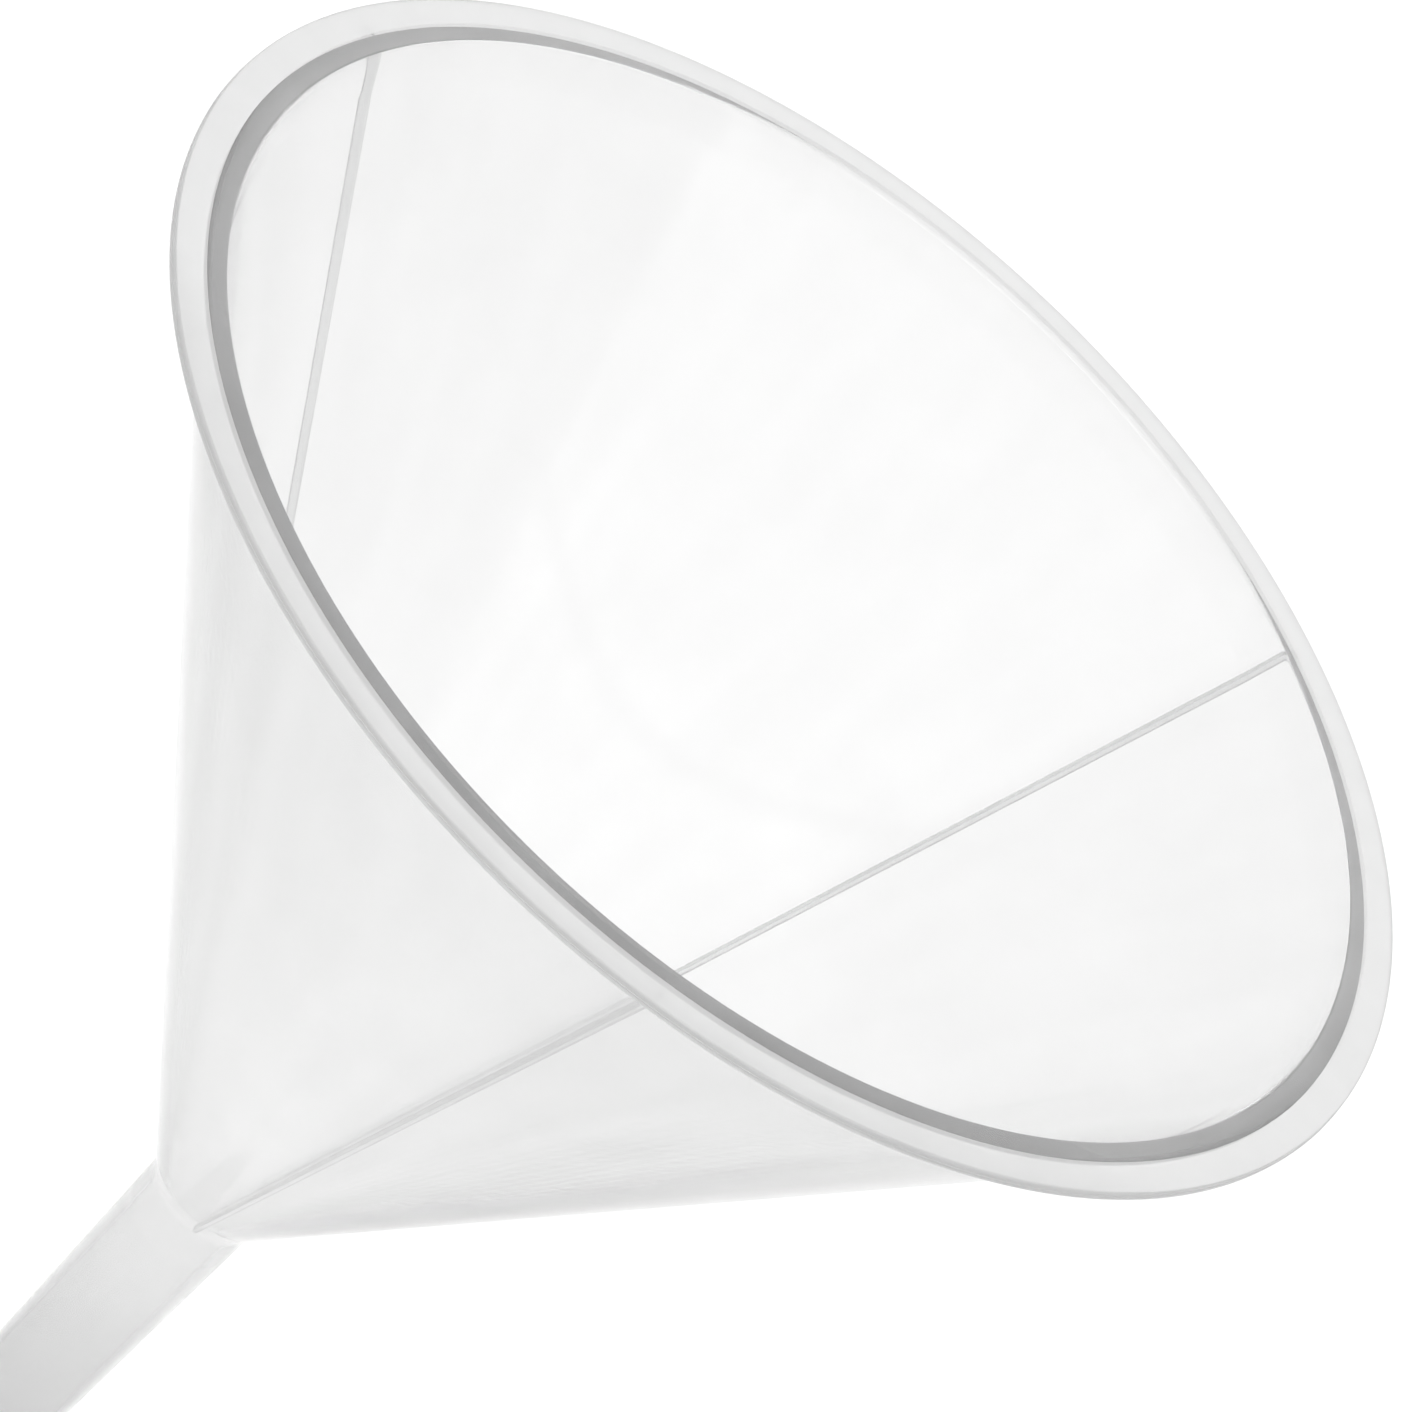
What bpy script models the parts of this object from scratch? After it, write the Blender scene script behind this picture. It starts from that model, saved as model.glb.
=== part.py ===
"""A general-purpose plastic funnel, modelled mouth up.

The real funnel is a single moulding. Its features are separate solids here, each a hair's
breadth (GAP) from its neighbours: the conical bowl, the collar where the bowl wall turns
outwards, the flat rim flange, the vent ribs on the outside, the throat and the tapered stem.

Heights are first worked out above the throat line, where the outside of the cone meets the
outside of the stem. The funnel is then lowered so that z = 0 is the ring on which the cone
rests in a bottle's mouth.
"""
import math

import bmesh
import bpy

# Driving dimensions, in metres
RIM_RADIUS = 0.075
FLANGE_WIDTH = 0.0036
FLANGE_THICKNESS = 0.0012
CONE_HALF_ANGLE = math.radians(30)
WALL = 0.00195
COLLAR_HEIGHT = 0.0030
RIB_TOP_HEIGHT = 0.0010
RIB_FOOT_HEIGHT = 0.0005
RIB_FOOT = 0.0015
RIB_THICKNESS = 0.0005
SIDE_RIB_TURN = math.radians(115.5)
STEM_TOP_RADIUS = 0.0068
STEM_TIP_RADIUS = 0.0054
STEM_LENGTH = 0.070
STEM_WALL = 0.0013
THROAT_RISE = 0.0040
THROAT_DROP = 0.0060
THROAT_FILLET = 0.0040
BOTTLE_MOUTH_RADIUS = 0.0100
EDGE = 0.0002
GAP = 0.0003
SEGMENTS = 96
FILLET_STEPS = 4

# Sizes that follow from them
SLOPE = math.tan(CONE_HALF_ANGLE)
LEVEL_WALL = WALL / math.cos(CONE_HALF_ANGLE)
COLLAR_RADIUS = RIM_RADIUS - FLANGE_WIDTH
UNDER_FLANGE = (COLLAR_RADIUS - STEM_TOP_RADIUS) / SLOPE
RIM_TOP = UNDER_FLANGE + FLANGE_THICKNESS
SEAT_HEIGHT = (BOTTLE_MOUTH_RADIUS - STEM_TOP_RADIUS) / SLOPE


def cone_outer(height):
    """Radius of the outside of the cone."""
    return STEM_TOP_RADIUS + height * SLOPE


def cone_inner(height):
    """Radius of the inside of the cone."""
    return cone_outer(height) - LEVEL_WALL


def stem_outer(height):
    """Radius of the outside of the stem, which narrows towards the tip."""
    return STEM_TOP_RADIUS + (STEM_TOP_RADIUS - STEM_TIP_RADIUS) * height / STEM_LENGTH


def stem_inner(height):
    """Radius of the bore of the stem."""
    return stem_outer(height) - STEM_WALL


def bore_top():
    """Height at which the inside of the cone meets the bore."""
    bore_taper = (STEM_TOP_RADIUS - STEM_TIP_RADIUS) / STEM_LENGTH
    return (LEVEL_WALL - STEM_WALL) / (SLOPE - bore_taper)


def throat_fillet():
    """Points up the rounded corner between the stem and the cone, on the outside."""
    stem_angle = math.atan((STEM_TOP_RADIUS - STEM_TIP_RADIUS) / STEM_LENGTH)
    turn = CONE_HALF_ANGLE - stem_angle
    reach = THROAT_FILLET * math.tan(turn / 2)
    start_height = -reach * math.cos(stem_angle)
    centre_radius = stem_outer(start_height) + THROAT_FILLET * math.cos(stem_angle)
    centre_height = start_height - THROAT_FILLET * math.sin(stem_angle)
    points = []
    for step in range(FILLET_STEPS + 1):
        angle = stem_angle + turn * step / FILLET_STEPS
        radius = centre_radius - THROAT_FILLET * math.cos(angle)
        height = centre_height + THROAT_FILLET * math.sin(angle)
        points.append((radius, height))
    return points


def plastic(name, color, roughness):
    """Milky, slightly see-through polypropylene."""
    material = bpy.data.materials.new(name)
    material.use_nodes = True
    shader = material.node_tree.nodes["Principled BSDF"]
    shader.inputs["Base Color"].default_value = (*color, 1.0)
    shader.inputs["Roughness"].default_value = roughness
    shader.inputs["Metallic"].default_value = 0.0
    shader.inputs["IOR"].default_value = 1.49
    return material


def add_object(name, mesh, material):
    """Link a mesh to the scene as one of the funnel's pieces, lowered to the seat ring."""
    mesh.materials.append(material)
    piece = bpy.data.objects.new(name, mesh)
    piece.location = (0.0, 0.0, -SEAT_HEIGHT)
    bpy.context.collection.objects.link(piece)
    return piece


def turned(name, profile, material):
    """A ring whose section is the closed outline of (radius, height) points."""
    shape = bmesh.new()
    corners = [shape.verts.new((radius, 0.0, height)) for radius, height in profile]
    outline = [shape.edges.new((corners[i - 1], corners[i])) for i in range(len(corners))]
    bmesh.ops.spin(shape, geom=corners + outline, cent=(0, 0, 0), axis=(0, 0, 1),
                   angle=math.tau, steps=SEGMENTS, use_merge=True)
    bmesh.ops.recalc_face_normals(shape, faces=shape.faces)
    mesh = bpy.data.meshes.new(name)
    shape.to_mesh(mesh)
    shape.free()
    mesh.shade_smooth()
    mesh.set_sharp_from_angle(angle=math.radians(20))
    return add_object(name, mesh, material)


def plate(name, outline, thickness, turn, material):
    """A flat plate standing on the axis, its outline in (radius, height), turned about Z."""
    shape = bmesh.new()
    corners = [shape.verts.new((radius, -thickness / 2, height)) for radius, height in outline]
    side = shape.faces.new(corners)
    grown = bmesh.ops.extrude_face_region(shape, geom=[side])["geom"]
    moved = [item for item in grown if isinstance(item, bmesh.types.BMVert)]
    bmesh.ops.translate(shape, verts=moved, vec=(0, thickness, 0))
    bmesh.ops.recalc_face_normals(shape, faces=shape.faces)
    mesh = bpy.data.meshes.new(name)
    shape.to_mesh(mesh)
    shape.free()
    piece = add_object(name, mesh, material)
    piece.rotation_euler.z = turn
    return piece


def make_flange(material):
    """The flat ring around the mouth, its outer edges slightly rounded off."""
    inner = COLLAR_RADIUS + GAP
    profile = [
        (inner, UNDER_FLANGE),
        (RIM_RADIUS - EDGE, UNDER_FLANGE),
        (RIM_RADIUS, UNDER_FLANGE + EDGE),
        (RIM_RADIUS, RIM_TOP - EDGE),
        (RIM_RADIUS - EDGE, RIM_TOP),
        (inner, RIM_TOP),
    ]
    turned("rim_flange", profile, material)


def make_collar(material):
    """The top of the bowl wall, where it turns out into the flange: flat on top."""
    foot = UNDER_FLANGE - COLLAR_HEIGHT
    inner_top = COLLAR_RADIUS - LEVEL_WALL
    profile = [
        (cone_outer(foot), foot),
        (COLLAR_RADIUS, UNDER_FLANGE),
        (COLLAR_RADIUS, RIM_TOP),
        (inner_top + EDGE, RIM_TOP),
        (inner_top, RIM_TOP - EDGE),
        (cone_inner(foot), foot),
    ]
    turned("rim_collar", profile, material)


def make_bowl(material):
    """The long straight cone between the throat and the collar."""
    low = THROAT_RISE + GAP
    high = UNDER_FLANGE - COLLAR_HEIGHT - GAP
    profile = [
        (cone_outer(low), low),
        (cone_outer(high), high),
        (cone_inner(high), high),
        (cone_inner(low), low),
    ]
    turned("bowl", profile, material)


def make_throat(material):
    """The short neck where the cone runs into the stem."""
    profile = [(stem_outer(-THROAT_DROP), -THROAT_DROP)]
    profile += throat_fillet()
    profile += [
        (cone_outer(THROAT_RISE), THROAT_RISE),
        (cone_inner(THROAT_RISE), THROAT_RISE),
        (stem_inner(bore_top()), bore_top()),
        (stem_inner(-THROAT_DROP), -THROAT_DROP),
    ]
    turned("throat", profile, material)


def make_stem(material):
    """The open tapered tube, cut square at the tip."""
    top = -THROAT_DROP - GAP
    tip = -STEM_LENGTH
    profile = [
        (stem_outer(top), top),
        (stem_outer(tip), tip + EDGE),
        (stem_outer(tip) - EDGE, tip),
        (stem_inner(tip), tip),
        (stem_inner(top), top),
    ]
    turned("stem", profile, material)


def make_rib(number, turn, material):
    """A thin fin down the outside of the cone, taller at the rim than just above the throat.

    It keeps a way open for air between the funnel and a bottle's mouth.
    """
    foot = RIB_FOOT
    top = UNDER_FLANGE - GAP
    level_gap = GAP / math.cos(CONE_HALF_ANGLE)
    top_reach = level_gap + RIB_TOP_HEIGHT / math.cos(CONE_HALF_ANGLE)
    foot_reach = level_gap + RIB_FOOT_HEIGHT / math.cos(CONE_HALF_ANGLE)
    outline = [
        (cone_outer(foot) + level_gap, foot),
        (cone_outer(top) + level_gap, top),
        (cone_outer(top) + top_reach, top),
        (cone_outer(foot) + foot_reach, foot),
    ]
    plate(f"vent_rib_{number}", outline, RIB_THICKNESS, turn, material)


def build_funnel():
    for old in list(bpy.data.objects):
        bpy.data.objects.remove(old, do_unlink=True)

    make_flange(plastic("rim_flange", (0.86, 0.86, 0.86), 0.35))
    make_collar(plastic("rim_collar", (0.72, 0.72, 0.72), 0.35))
    make_bowl(plastic("bowl", (0.88, 0.88, 0.88), 0.40))
    make_throat(plastic("throat", (0.86, 0.86, 0.86), 0.38))
    make_stem(plastic("stem", (0.80, 0.80, 0.80), 0.35))
    for number, turn in enumerate((0.0, SIDE_RIB_TURN, -SIDE_RIB_TURN), start=1):
        make_rib(number, turn, plastic(f"vent_rib_{number}", (0.82, 0.82, 0.82), 0.38))


build_funnel()
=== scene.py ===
import math

import bmesh
import bpy
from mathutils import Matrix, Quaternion, Vector


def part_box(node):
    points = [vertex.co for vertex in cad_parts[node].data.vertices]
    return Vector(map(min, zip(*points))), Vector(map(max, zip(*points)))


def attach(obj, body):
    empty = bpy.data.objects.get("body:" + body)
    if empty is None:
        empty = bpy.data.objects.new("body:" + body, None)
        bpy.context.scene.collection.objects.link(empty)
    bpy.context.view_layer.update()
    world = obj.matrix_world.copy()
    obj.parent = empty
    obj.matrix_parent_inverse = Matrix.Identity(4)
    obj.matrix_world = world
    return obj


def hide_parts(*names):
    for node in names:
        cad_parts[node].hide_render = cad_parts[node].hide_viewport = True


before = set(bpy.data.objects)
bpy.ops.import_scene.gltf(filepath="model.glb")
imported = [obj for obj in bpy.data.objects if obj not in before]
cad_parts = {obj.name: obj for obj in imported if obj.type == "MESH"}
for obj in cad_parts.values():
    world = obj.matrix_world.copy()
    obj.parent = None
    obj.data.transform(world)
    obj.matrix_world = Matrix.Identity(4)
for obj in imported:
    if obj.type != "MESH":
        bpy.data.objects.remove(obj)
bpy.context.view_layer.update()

# The viewpoint. The lens and the sensor are in millimetres and NEAREST_SEEN is in metres. The
# distance, and how far the mouth lies off the middle of the picture, are in rim radii.
VIEW_AZIMUTH = math.radians(101.9)
VIEW_ELEVATION = math.radians(33.1)
VIEW_ROLL = math.radians(44.2)
VIEW_LENS = 142
SENSOR_WIDTH = 36
VIEW_DISTANCE = 7.402
MOUTH_RIGHT = 0.1458
MOUTH_UP = 0.1888
NEAREST_SEEN = 0.01

# Detail that the frame doesn't hold. Lengths here and below are in metres.
SEGMENTS = 240
SHARP_ANGLE = math.radians(32)
EDGE_ROUNDING = 0.00022
TOP_ROUNDING = 0.00035
THROAT_FILLET = 0.0040
BORE_FILLET = 0.0030
PARTING_RIDGE = 0.00007

# How far from a height a CAD corner may lie and still count as being at it
HEIGHT_TOLERANCE = 0.0003

# Natural polypropylene: its gloss, its flow streaks, its faint clouds and its fine skin
PLASTIC_IOR = 1.49
SMOOTHEST = 0.05
ROUGHEST = 0.11
STREAKS_AROUND = 13
STREAK_STRETCH = 2.5
STREAK_DETAIL = 3
STREAK_DARKEST = -0.012
STREAK_PALEST = 0.008
CLOUD_SCALE = 70
CLOUD_DEPTH = 0.02
SKIN_SCALE = 1100
SKIN_DEPTH = 0.000004

# The studio: a pale floor in a white room, a lamp over the patch of floor that the camera sees,
# and soft lights overhead, on the camera's side and behind the funnel
FLOOR_HEIGHT = -0.40
FLOOR_REACH = 20
FLOOR_TONE = 0.75
FLOOR_ROUGHNESS = 0.9
ROOM_LIGHT = 0.64
BACKDROP_WATTS = 60
BACKDROP_SPREAD = math.radians(34)
BACKDROP_EDGE = 0.35
BACKDROP_CENTRE = (0.17, -0.95)
BACKDROP_LAMP_HEIGHT = 2.5
BACKDROP_LAMP_RADIUS = 0.1
OVERHEAD_LIGHT = 1.0
OVERHEAD_SOFTNESS = math.radians(40)
FRONT_LIGHT = 1.2
FRONT_LIGHT_ELEVATION = math.radians(25)
FRONT_SOFTNESS = math.radians(120)
BACK_LIGHT = 0.3
BACK_LIGHT_ELEVATION = math.radians(30)
BACK_SOFTNESS = math.radians(40)

# The sizes that the frame gives. The first rib lies along X, so its thickness is along Y.
RIM_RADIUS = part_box("rim_flange")[1].x
RIM_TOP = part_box("rim_flange")[1].z
UNDER_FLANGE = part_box("rim_flange")[0].z
COLLAR_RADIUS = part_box("rim_collar")[1].x
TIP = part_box("stem")[0].z
RIB_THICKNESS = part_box("vent_rib_1")[1].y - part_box("vent_rib_1")[0].y


def ring_radius(node, height, pick):
    """The widest (pick=max) or narrowest (pick=min) radius of a CAD node at a height."""
    corners = [vertex.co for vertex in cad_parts[node].data.vertices]
    level = [corner for corner in corners if abs(corner.z - height) < HEIGHT_TOLERANCE]
    return pick(math.hypot(corner.x, corner.y) for corner in level)


def taper(node, pick):
    """Radius as a function of height along the outside (max) or the inside (min) of a CAD node."""
    low, high = (corner.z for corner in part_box(node))
    low_radius = ring_radius(node, low, pick)
    high_radius = ring_radius(node, high, pick)
    return lambda height: low_radius + (high_radius - low_radius) * (height - low) / (high - low)


cone_outer = taper("bowl", max)
cone_inner = taper("bowl", min)
stem_outer = taper("stem", max)
stem_inner = taper("stem", min)


def crossing(first, second):
    """The (radius, height) where two tapers meet, from the gaps between them at heights 0 and 1."""
    gap_at_0 = first(0) - second(0)
    gap_at_1 = first(1) - second(1)
    height = gap_at_0 / (gap_at_0 - gap_at_1)
    return first(height), height


def between(lower, upper):
    """The height half way between two CAD nodes, one above the other."""
    return (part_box(lower)[1].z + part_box(upper)[0].z) / 2


COLLAR_FOOT = between("bowl", "rim_collar")
THROAT_TOP = between("throat", "bowl")
THROAT_FOOT = between("stem", "throat")


def rounded(before, corner, after, radius, steps=4):
    """Points of an arc that replaces the corner of a (radius, height) outline.

    The corner and the points before and after it give the two lines that the arc touches.
    """
    before, corner, after = Vector(before), Vector(corner), Vector(after)
    back = (before - corner).normalized()
    ahead = (after - corner).normalized()
    half_angle = back.angle(ahead) / 2
    centre = corner + (back + ahead).normalized() * radius / math.sin(half_angle)
    reach = radius / math.tan(half_angle)
    start = corner + back * reach - centre
    end = corner + ahead * reach - centre
    clockwise_turn = start.angle_signed(end)
    points = []
    for step in range(steps + 1):
        angle = -clockwise_turn * step / steps
        c, s = math.cos(angle), math.sin(angle)
        points.append((centre.x + c * start.x - s * start.y, centre.y + s * start.x + c * start.y))
    return points


def new_piece(node, shape, plastic):
    """Turn a bmesh into the piece that stands for a CAD node.

    Its VISIBLE faces are of that plastic and its AT_JOINT faces are clear.
    """
    bmesh.ops.recalc_face_normals(shape, faces=shape.faces)
    mesh = bpy.data.meshes.new(node + "_skin")
    shape.to_mesh(mesh)
    shape.free()
    mesh.materials.append(plastic)
    mesh.materials.append(JOINT)
    mesh.shade_smooth()
    mesh.set_sharp_from_angle(angle=SHARP_ANGLE)
    piece = bpy.data.objects.new(node + "_skin", mesh)
    bpy.context.collection.objects.link(piece)
    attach(piece, "root")
    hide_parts(node)
    return piece


def turned(node, runs, plastic):
    """A closed ring. Each run is a stretch of (radius, height) points of its visible skin.

    The faces between one run and the next lie against a neighbouring piece of the same
    moulding, so they are clear.
    """
    points = []
    run_starts = []
    for run in runs:
        run_starts.append(len(points))
        points += run
    shape = bmesh.new()
    rings = []
    for step in range(SEGMENTS):
        angle = math.tau * step / SEGMENTS
        c, s = math.cos(angle), math.sin(angle)
        rings.append([shape.verts.new((radius * c, radius * s, height)) for radius, height in points])
    for step in range(SEGMENTS):
        here, there = rings[step - 1], rings[step]
        for i in range(len(points)):
            face = shape.faces.new((here[i - 1], here[i], there[i], there[i - 1]))
            face.material_index = AT_JOINT if i in run_starts else VISIBLE
    return new_piece(node, shape, plastic)


def wired(tree, kind, inputs, **settings):
    """A shader node of some kind with its settings and inputs, which are values or other outputs."""
    node = tree.nodes.new(kind)
    for name, value in settings.items():
        setattr(node, name, value)
    for key, value in inputs.items():
        if isinstance(value, bpy.types.NodeSocket):
            tree.links.new(value, node.inputs[key])
        else:
            node.inputs[key].default_value = value
    return node


def spread(tree, value, low, high, starts=0.3, ends=0.7):
    """Stretch a value's range to low..high. Most of a noise lies between 0.3 and 0.7."""
    inputs = {"Value": value, "From Min": starts, "From Max": ends, "To Min": low, "To Max": high}
    return wired(tree, "ShaderNodeMapRange", inputs).outputs["Result"]


def streaks(tree, position):
    """Flow lines: they change fast round the axis and slowly along it."""
    around = wired(tree, "ShaderNodeVectorMath", {0: position, 1: (1, 1, 0)}, operation="MULTIPLY")
    around = wired(tree, "ShaderNodeVectorMath", {0: around.outputs[0]}, operation="NORMALIZE")
    stretch = {0: position, 1: (0, 0, STREAK_STRETCH), 2: around.outputs[0]}
    place = wired(tree, "ShaderNodeVectorMath", stretch, operation="MULTIPLY_ADD")
    inputs = {"Vector": place.outputs[0], "Scale": STREAKS_AROUND, "Detail": STREAK_DETAIL}
    return wired(tree, "ShaderNodeTexNoise", inputs).outputs[0]


def polypropylene(node, clarity, foot_shading_tone, top_shading_tone):
    """Natural polypropylene for one CAD node, with painted light and shade in its colour.

    Its tone changes evenly from the node's foot to its top, and stays white where it would pass 1.
    That gradient, and the tone each piece is given, are painted light and shade set to look right
    from this viewpoint: the real moulding is one plastic of one colour.
    """
    material = bpy.data.materials.new(node + "_plastic")
    material.use_nodes = True
    tree = material.node_tree
    shader = tree.nodes["Principled BSDF"]
    position = tree.nodes.new("ShaderNodeTexCoord").outputs["Object"]
    height = wired(tree, "ShaderNodeSeparateXYZ", {0: position}).outputs["Z"]
    low, high = (corner.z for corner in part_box(node))
    # Painted light and shade: the base colour runs from the foot tone to the top tone up the node
    tone = spread(tree, height, foot_shading_tone, top_shading_tone, low, high)
    flow = streaks(tree, position)
    clouds = wired(tree, "ShaderNodeTexNoise", {"Vector": position, "Scale": CLOUD_SCALE}).outputs[0]
    skin = wired(tree, "ShaderNodeTexNoise", {"Vector": position, "Scale": SKIN_SCALE}).outputs[0]
    bump = wired(tree, "ShaderNodeBump", {"Height": skin, "Distance": SKIN_DEPTH})
    shade = spread(tree, flow, STREAK_DARKEST, STREAK_PALEST)
    tone = wired(tree, "ShaderNodeMath", {0: tone, 1: shade}, operation="ADD", use_clamp=True).outputs[0]
    color = wired(tree, "ShaderNodeCombineColor", {"Red": tone, "Green": tone, "Blue": tone})
    roughness = spread(tree, flow, ROUGHEST, SMOOTHEST)
    clearness = spread(tree, clouds, clarity - CLOUD_DEPTH, clarity + CLOUD_DEPTH)
    tree.links.new(color.outputs[0], shader.inputs["Base Color"])
    tree.links.new(roughness, shader.inputs["Roughness"])
    tree.links.new(clearness, shader.inputs["Transmission Weight"])
    tree.links.new(bump.outputs[0], shader.inputs["Normal"])
    shader.inputs["IOR"].default_value = PLASTIC_IOR
    return material


def clear_joint():
    """Where two pieces of the moulding meet there is no surface in the real plastic."""
    material = bpy.data.materials.new("clear_joint")
    material.use_nodes = True
    nodes = material.node_tree.nodes
    nodes.clear()
    clear = nodes.new("ShaderNodeBsdfTransparent")
    output = nodes.new("ShaderNodeOutputMaterial")
    material.node_tree.links.new(clear.outputs[0], output.inputs["Surface"])
    return material


# Every piece has two material slots: its visible skin, and where it meets its neighbours
VISIBLE = 0
AT_JOINT = 1
JOINT = clear_joint()

# The painted shade tone where the bowl runs into the collar, so that no line shows between them
SHARED_SHADING_TONE = 0.945


def flange_plastic():
    """The milkiest part of the moulding. Its even grey tone is painted shade."""
    return polypropylene("rim_flange", clarity=0.45, foot_shading_tone=0.80, top_shading_tone=0.80)


def collar_plastic():
    # Painted shade: the collar is greyer than the bowl and darkest at its top, for the dark band seen
    # along the top of the wall
    return polypropylene("rim_collar", clarity=0.84, foot_shading_tone=SHARED_SHADING_TONE, top_shading_tone=0.925)


def bowl_plastic():
    # Painted light: the bowl is white at its foot, where the inside of the cone looks brightest, and
    # greys towards the collar
    return polypropylene("bowl", clarity=0.86, foot_shading_tone=1.03, top_shading_tone=SHARED_SHADING_TONE)


def throat_plastic():
    return polypropylene("throat", clarity=0.84, foot_shading_tone=1.01, top_shading_tone=1.01)


def stem_plastic():
    # Painted shade: the stem darkens from white at its top to grey at its tip
    return polypropylene("stem", clarity=0.80, foot_shading_tone=0.76, top_shading_tone=1.03)


def rib_plastic(node):
    # Painted shade: each rib greys towards its top, so that it shows as a darker line by the rim
    return polypropylene(node, clarity=0.84, foot_shading_tone=1.0, top_shading_tone=0.86)


def make_flange():
    """A flat ring with rounded outer edges and a fine ridge half way up its outer side."""
    top_in = (COLLAR_RADIUS, RIM_TOP)
    under_in = (COLLAR_RADIUS, UNDER_FLANGE)
    edge = RIM_RADIUS - PARTING_RIDGE
    middle = (UNDER_FLANGE + RIM_TOP) / 2
    run = [under_in]
    run += rounded(under_in, (edge, UNDER_FLANGE), (edge, RIM_TOP), EDGE_ROUNDING)
    run += [(edge, middle - PARTING_RIDGE), (RIM_RADIUS, middle), (edge, middle + PARTING_RIDGE)]
    run += rounded((edge, UNDER_FLANGE), (edge, RIM_TOP), top_in, EDGE_ROUNDING)
    run += [top_in]
    return turned("rim_flange", [run], flange_plastic())


def make_collar():
    """The top of the bowl's wall. The flange meets it on the outside."""
    outside = [
        (cone_outer(COLLAR_FOOT), COLLAR_FOOT),
        (COLLAR_RADIUS, UNDER_FLANGE),
    ]
    mouth = (ring_radius("rim_collar", RIM_TOP, min), RIM_TOP)
    foot_in = (cone_inner(COLLAR_FOOT), COLLAR_FOOT)
    inside = [(COLLAR_RADIUS, RIM_TOP)]
    inside += rounded((COLLAR_RADIUS, RIM_TOP), mouth, foot_in, TOP_ROUNDING)
    inside += [foot_in]
    return turned("rim_collar", [outside, inside], collar_plastic())


def make_bowl():
    outside = [(cone_outer(THROAT_TOP), THROAT_TOP), (cone_outer(COLLAR_FOOT), COLLAR_FOOT)]
    inside = [(cone_inner(COLLAR_FOOT), COLLAR_FOOT), (cone_inner(THROAT_TOP), THROAT_TOP)]
    return turned("bowl", [outside, inside], bowl_plastic())


def make_throat():
    """Where the cone runs into the stem, with a fillet outside and another in the bore."""
    foot_out = (stem_outer(THROAT_FOOT), THROAT_FOOT)
    top_out = (cone_outer(THROAT_TOP), THROAT_TOP)
    top_in = (cone_inner(THROAT_TOP), THROAT_TOP)
    foot_in = (stem_inner(THROAT_FOOT), THROAT_FOOT)
    outside = [foot_out]
    outside += rounded(foot_out, crossing(stem_outer, cone_outer), top_out, THROAT_FILLET)
    outside += [top_out]
    inside = [top_in]
    inside += rounded(top_in, crossing(stem_inner, cone_inner), foot_in, BORE_FILLET)
    inside += [foot_in]
    return turned("throat", [outside, inside], throat_plastic())


def make_stem():
    """A tapered tube, open at the tip, where its edges are rounded."""
    top_in = (stem_inner(THROAT_FOOT), THROAT_FOOT)
    top_out = (stem_outer(THROAT_FOOT), THROAT_FOOT)
    tip_in = (stem_inner(TIP), TIP)
    tip_out = (stem_outer(TIP), TIP)
    run = [top_in]
    run += rounded(top_in, tip_in, tip_out, EDGE_ROUNDING)
    run += rounded(tip_in, tip_out, top_out, EDGE_ROUNDING)
    run += [top_out]
    return turned("stem", [run], stem_plastic())


def make_rib(node):
    """A thin fin down the outside of the cone. Its root and its top meet other pieces."""
    corners = [vertex.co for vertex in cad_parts[node].data.vertices]
    middle = sum(corners, Vector()) / len(corners)
    out = Vector((middle.x, middle.y, 0)).normalized()
    side = Vector((-out.y, out.x, 0)) * RIB_THICKNESS / 2
    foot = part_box(node)[0].z
    edge = taper(node, max)
    outline = [
        (cone_outer(foot), foot),
        (cone_outer(UNDER_FLANGE), UNDER_FLANGE),
        (edge(UNDER_FLANGE), UNDER_FLANGE),
        (edge(foot), foot),
    ]
    root, top = 1, 2
    shape = bmesh.new()
    flanks = []
    for sign in (-1, 1):
        flank = [shape.verts.new(out * radius + side * sign + Vector((0, 0, z))) for radius, z in outline]
        shape.faces.new(flank)
        flanks.append(flank)
    left, right = flanks
    for i in range(len(outline)):
        face = shape.faces.new((left[i - 1], left[i], right[i], right[i - 1]))
        face.material_index = AT_JOINT if i in (root, top) else VISIBLE
    return new_piece(node, shape, rib_plastic(node))


def direction(azimuth, elevation):
    """The unit vector that points that way from the funnel."""
    level = math.cos(elevation)
    return Vector((level * math.cos(azimuth), level * math.sin(azimuth), math.sin(elevation)))


def make_camera():
    """The camera looks down into the mouth from one side, rolled so that the stem points lower left."""
    toward = direction(VIEW_AZIMUTH, VIEW_ELEVATION)
    turn = toward.to_track_quat("Z", "Y") @ Quaternion((0, 0, 1), VIEW_ROLL)
    offset = Vector((-MOUTH_RIGHT, -MOUTH_UP, VIEW_DISTANCE)) * RIM_RADIUS
    data = bpy.data.cameras.new("camera")
    data.lens = VIEW_LENS
    data.sensor_width = SENSOR_WIDTH
    data.clip_start = NEAREST_SEEN
    camera = bpy.data.objects.new("camera", data)
    camera.rotation_mode = "QUATERNION"
    camera.rotation_quaternion = turn
    camera.location = Vector((0, 0, RIM_TOP)) + turn @ offset
    bpy.context.collection.objects.link(camera)
    bpy.context.scene.camera = camera


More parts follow.
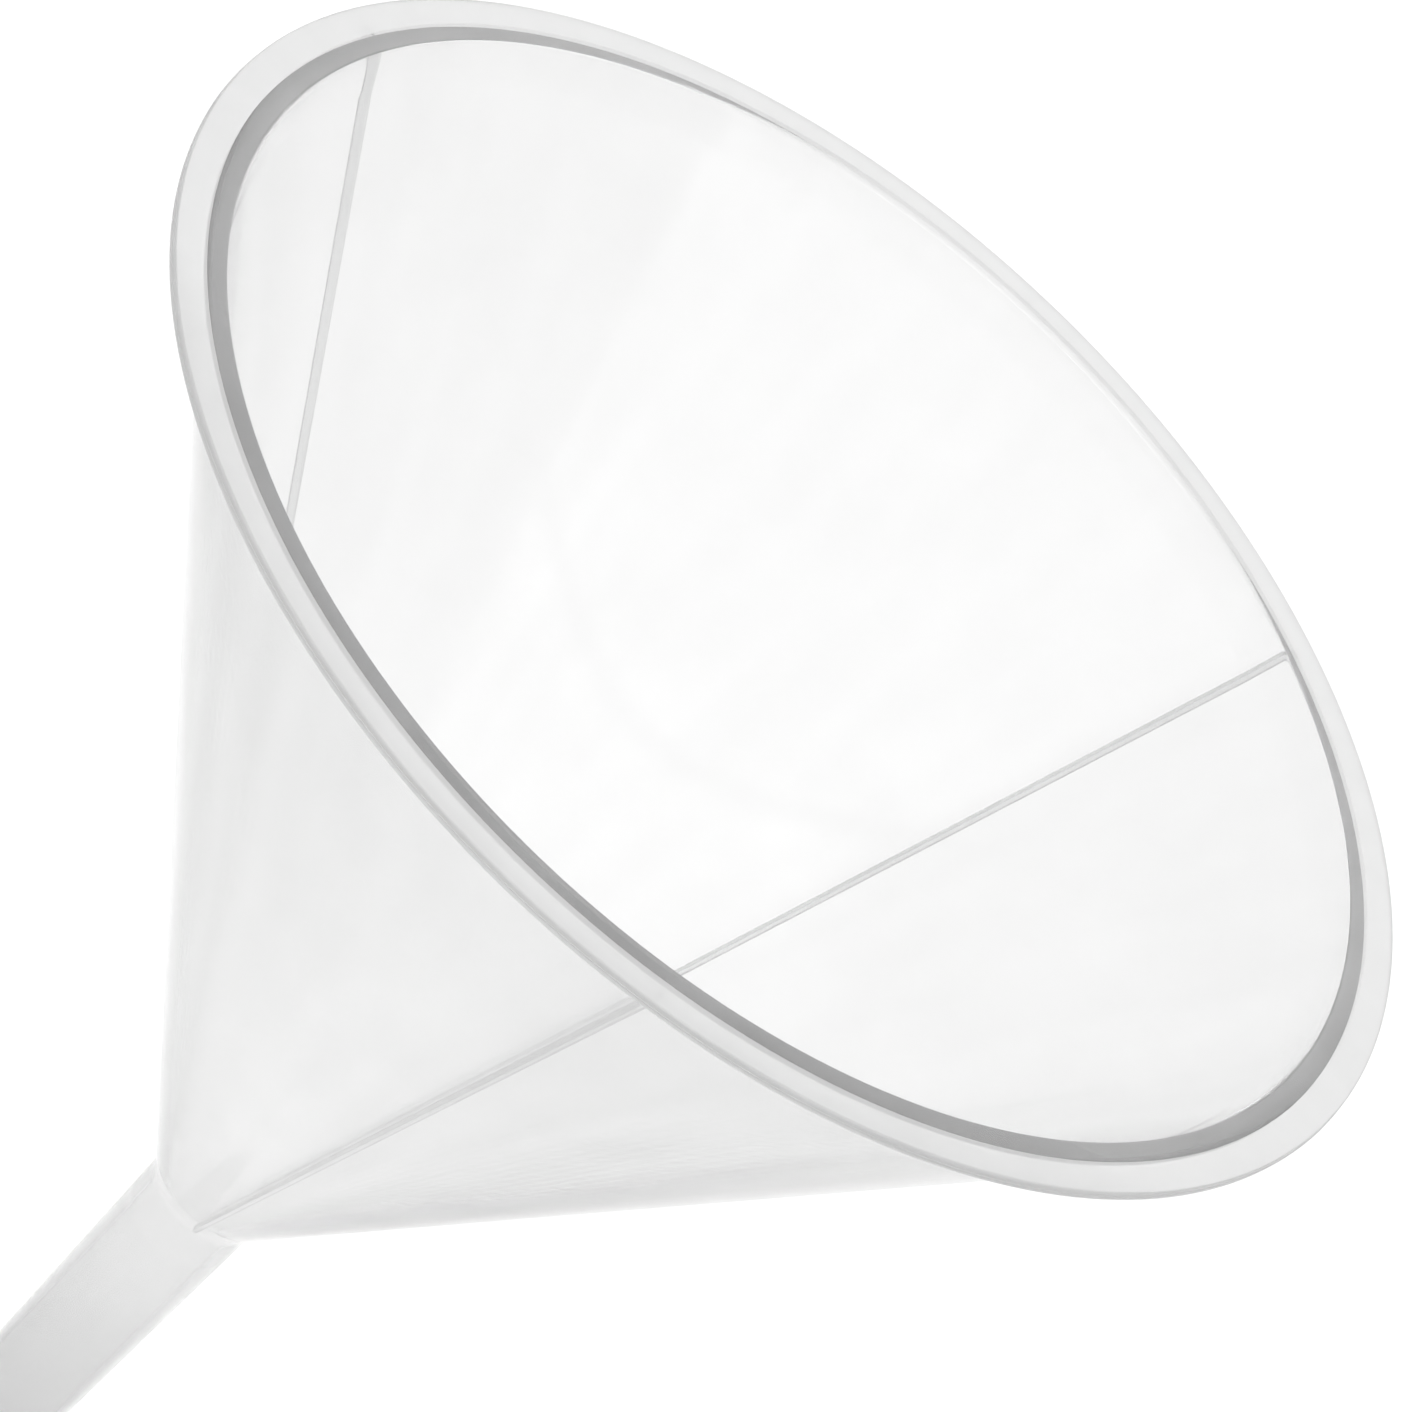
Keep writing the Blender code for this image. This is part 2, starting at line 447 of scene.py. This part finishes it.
def make_floor():
    corners = []
    for x, y in ((-1, -1), (1, -1), (1, 1), (-1, 1)):
        corners.append((x * FLOOR_REACH, y * FLOOR_REACH, FLOOR_HEIGHT))
    mesh = bpy.data.meshes.new("floor")
    mesh.from_pydata(corners, [], [(0, 1, 2, 3)])
    floor = bpy.data.objects.new("floor", mesh)
    material = bpy.data.materials.new("floor")
    material.use_nodes = True
    shader = material.node_tree.nodes["Principled BSDF"]
    shader.inputs["Base Color"].default_value = (FLOOR_TONE, FLOOR_TONE, FLOOR_TONE, 1)
    shader.inputs["Roughness"].default_value = FLOOR_ROUGHNESS
    mesh.materials.append(material)
    bpy.context.collection.objects.link(floor)


def make_room_light():
    world = bpy.data.worlds.new("room")
    bpy.context.scene.world = world
    world.use_nodes = True
    room = world.node_tree.nodes["Background"]
    room.inputs["Color"].default_value = (1, 1, 1, 1)
    room.inputs["Strength"].default_value = ROOM_LIGHT


def make_backdrop_light():
    """It hangs over the part of the floor that the camera sees, and shines straight down."""
    light = bpy.data.lights.new("backdrop_light", "SPOT")
    light.energy = BACKDROP_WATTS
    light.spot_size = BACKDROP_SPREAD
    light.spot_blend = BACKDROP_EDGE
    light.shadow_soft_size = BACKDROP_LAMP_RADIUS
    lamp = bpy.data.objects.new("backdrop_light", light)
    lamp.location = (*BACKDROP_CENTRE, FLOOR_HEIGHT + BACKDROP_LAMP_HEIGHT)
    bpy.context.collection.objects.link(lamp)


def make_soft_light(name, strength, softness, toward):
    """A large soft box a long way off in that direction."""
    light = bpy.data.lights.new(name, "SUN")
    light.energy = strength
    light.angle = softness
    lamp = bpy.data.objects.new(name, light)
    lamp.rotation_euler = toward.to_track_quat("Z", "Y").to_euler()
    bpy.context.collection.objects.link(lamp)


bpy.context.scene.view_settings.view_transform = "Standard"
make_camera()
make_floor()
make_room_light()
make_backdrop_light()
front = direction(VIEW_AZIMUTH, FRONT_LIGHT_ELEVATION)
back = direction(VIEW_AZIMUTH + math.pi, BACK_LIGHT_ELEVATION)
make_soft_light("overhead_light", OVERHEAD_LIGHT, OVERHEAD_SOFTNESS, Vector((0, 0, 1)))
make_soft_light("front_light", FRONT_LIGHT, FRONT_SOFTNESS, front)
make_soft_light("back_light", BACK_LIGHT, BACK_SOFTNESS, back)
make_flange()
make_collar()
make_bowl()
make_throat()
make_stem()
for rib in ("vent_rib_1", "vent_rib_2", "vent_rib_3"):
    make_rib(rib)
